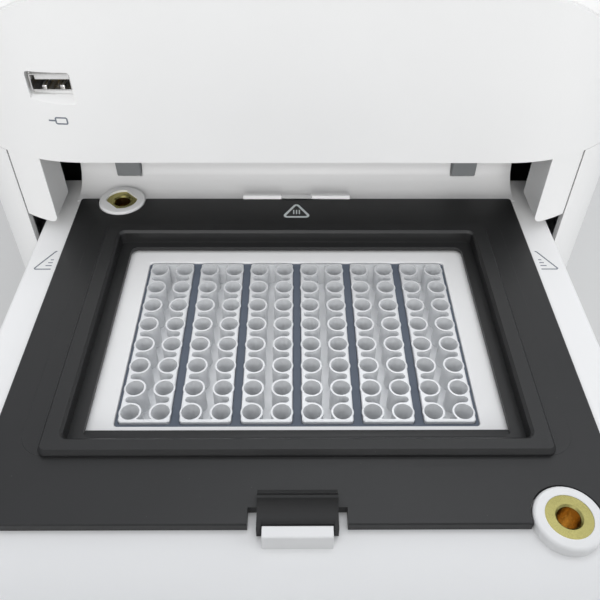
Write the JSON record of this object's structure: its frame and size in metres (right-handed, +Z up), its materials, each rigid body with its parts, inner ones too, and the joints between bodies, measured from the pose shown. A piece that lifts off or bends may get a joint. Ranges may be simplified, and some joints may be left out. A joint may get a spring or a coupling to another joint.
{
  "type": "thermal cycler",
  "caption": "Benchtop real-time thermal cycler with a motor drawer holding a multi-zone sample block under a black plate frame, and a leaning touch screen above.",
  "frame": {"origin": "on the table, under the middle of the box round the housing and its open drawer", "axes": "+Z up, +Y towards the back, +X to the right of someone facing the screen"},
  "size_m": [0.27, 0.66, 0.4],
  "materials": {
    "casing_white": "fine satin texture",
    "drawer_white": "fine satin texture",
    "cover_black": "satin",
    "latch_black": "satin",
    "block_metal": "bead blasted, clear anodised",
    "gasket_grey": "matt",
    "bush_brass": "turned",
    "sink_metal": "extruded",
    "ceramic": "matt ceramic",
    "frame_black": "black powder coat",
    "steel": "zinc plated",
    "pan_metal": "grey powder coat",
    "board_green": "solder resist",
    "fan_black": "moulded",
    "screen_glass": "gloss",
    "screen_panel": "display",
    "foot_rubber": "matt",
    "usb_metal": "plated",
    "usb_white": "moulded",
    "optic_black": "black anodised",
    "optic_mirror": "first surface",
    "lift_plastic": "moulded",
    "gear_white": "acetal",
    "motor_metal": "stepped can",
    "inlet_black": "moulded"
  },
  "bodies": {
    "housing": {"base_pan": "pan_metal", "feet": "foot_rubber", "side_panel_left": "casing_white", "side_panel_right": "casing_white", "top_cover": "casing_white", "rear_panel": "casing_white", "front_fascia": "casing_white", "screen_housing": "casing_white", "touch_glass": "screen_glass", "display_panel": "screen_panel", "guide_blocks": "casing_white", "usb_shell": "usb_metal", "usb_tongue": "usb_white", "chassis_frame": "frame_black", "power_inlet": "inlet_black", "rear_ports": "usb_metal", "power_supply": "pan_metal", "main_board": "board_green", "exhaust_fan_frame": "fan_black", "optics_hood": "optic_black", "optics_mirrors": "optic_mirror", "fluorescence_camera": "optic_black", "led_housing": "sink_metal", "filter_wheel_motors": "motor_metal", "lift_motor": "motor_metal", "lift_guide_rods": "steel", "drawer_motor": "motor_metal", "slide_outer_rails": "steel"},
    "drawer": {"drawer_tray": "pan_metal", "drawer_front": "drawer_white", "drawer_deck": "drawer_white", "drawer_rear_wall": "drawer_white", "block_cover": "cover_black", "rear_clip": "drawer_white", "guide_bushes": "bush_brass", "block_surround": "drawer_white", "zone_gasket": "gasket_grey", "peltier_modules": "ceramic", "heat_sink": "sink_metal", "block_fan_frame": "fan_black", "block_board": "board_green", "drawer_rack": "gear_white", "slide_inner_rails": "steel", "sample_block_zone_1": "block_metal", "sample_block_zone_2": "block_metal", "sample_block_zone_3": "block_metal", "sample_block_zone_4": "block_metal", "sample_block_zone_5": "block_metal", "sample_block_zone_6": "block_metal"},
    "slide_members": {"slide_middle_rails": "steel"},
    "latch": {"front_latch": "latch_black"},
    "block_fan": {"block_fan_rotor": "fan_black"},
    "exhaust_fan": {"exhaust_fan_rotor": "fan_black"},
    "heated_cover": {"cover_carriage": "lift_plastic", "heated_cover_plate": "sink_metal"},
    "lift_screw_shaft": {"lift_screw": "steel"},
    "emission_filters": {"emission_wheel": "optic_black"},
    "excitation_filters": {"excitation_wheel": "optic_black"},
    "pinion": {"drive_pinion": "gear_white"},
    "rocker": {"power_rocker": "inlet_black"}
  },
  "joints": [
    {"name": "drawer_slide", "type": "slide", "parent": "housing", "child": "drawer", "axis": [0, 1, 0], "range_m": [0, 0.16]},
    {"name": "slide_member_travel", "type": "slide", "parent": "housing", "child": "slide_members", "axis": [0, 1, 0], "range_m": [0, 0.08]},
    {"name": "pinion_spin", "type": "hinge", "parent": "housing", "child": "pinion", "pos_m": [0.054, -0.145, 0.028], "axis": [1, 0, 0], "range_deg": [-1146, 0]},
    {"name": "cover_lift", "type": "slide", "parent": "housing", "child": "heated_cover", "axis": [0, 0, 1], "range_m": [-0.026, 0]},
    {"name": "lift_screw_spin", "type": "hinge", "parent": "housing", "child": "lift_screw_shaft", "pos_m": [0.092, -0.028, 0.2], "axis": [0, 0, 1], "range_deg": [-2341, 0]},
    {"name": "latch_flip", "type": "hinge", "parent": "drawer", "child": "latch", "pos_m": [0, -0.2806, 0.1687], "axis": [-1, 0, 0], "range_deg": [0, 70], "stiffness_Nm_per_rad": 0.02},
    {"name": "block_fan_spin", "type": "hinge", "parent": "drawer", "child": "block_fan", "pos_m": [0, -0.219, 0.058], "axis": [0, 0, 1], "continuous": true},
    {"name": "exhaust_fan_spin", "type": "hinge", "parent": "housing", "child": "exhaust_fan", "pos_m": [0.038, 0.312, 0.15], "axis": [0, 1, 0], "continuous": true},
    {"name": "emission_wheel_spin", "type": "hinge", "parent": "housing", "child": "emission_filters", "pos_m": [0.024, 0.036, 0.335], "axis": [0, 1, 0], "continuous": true},
    {"name": "excitation_wheel_spin", "type": "hinge", "parent": "housing", "child": "excitation_filters", "pos_m": [-0.024, 0.036, 0.285], "axis": [0, 1, 0], "continuous": true},
    {"name": "power_rocker_tilt", "type": "hinge", "parent": "housing", "child": "rocker", "pos_m": [-0.024, 0.323, 0.046], "axis": [1, 0, 0], "range_deg": [0, 14]}
  ],
  "couplings": [
    {"joint": "slide_member_travel", "follows": "drawer_slide", "ratio": 0.5},
    {"joint": "pinion_spin", "follows": "drawer_slide", "rad_per_m": -125},
    {"joint": "lift_screw_spin", "follows": "cover_lift", "rad_per_m": 1570.8}
  ]
}
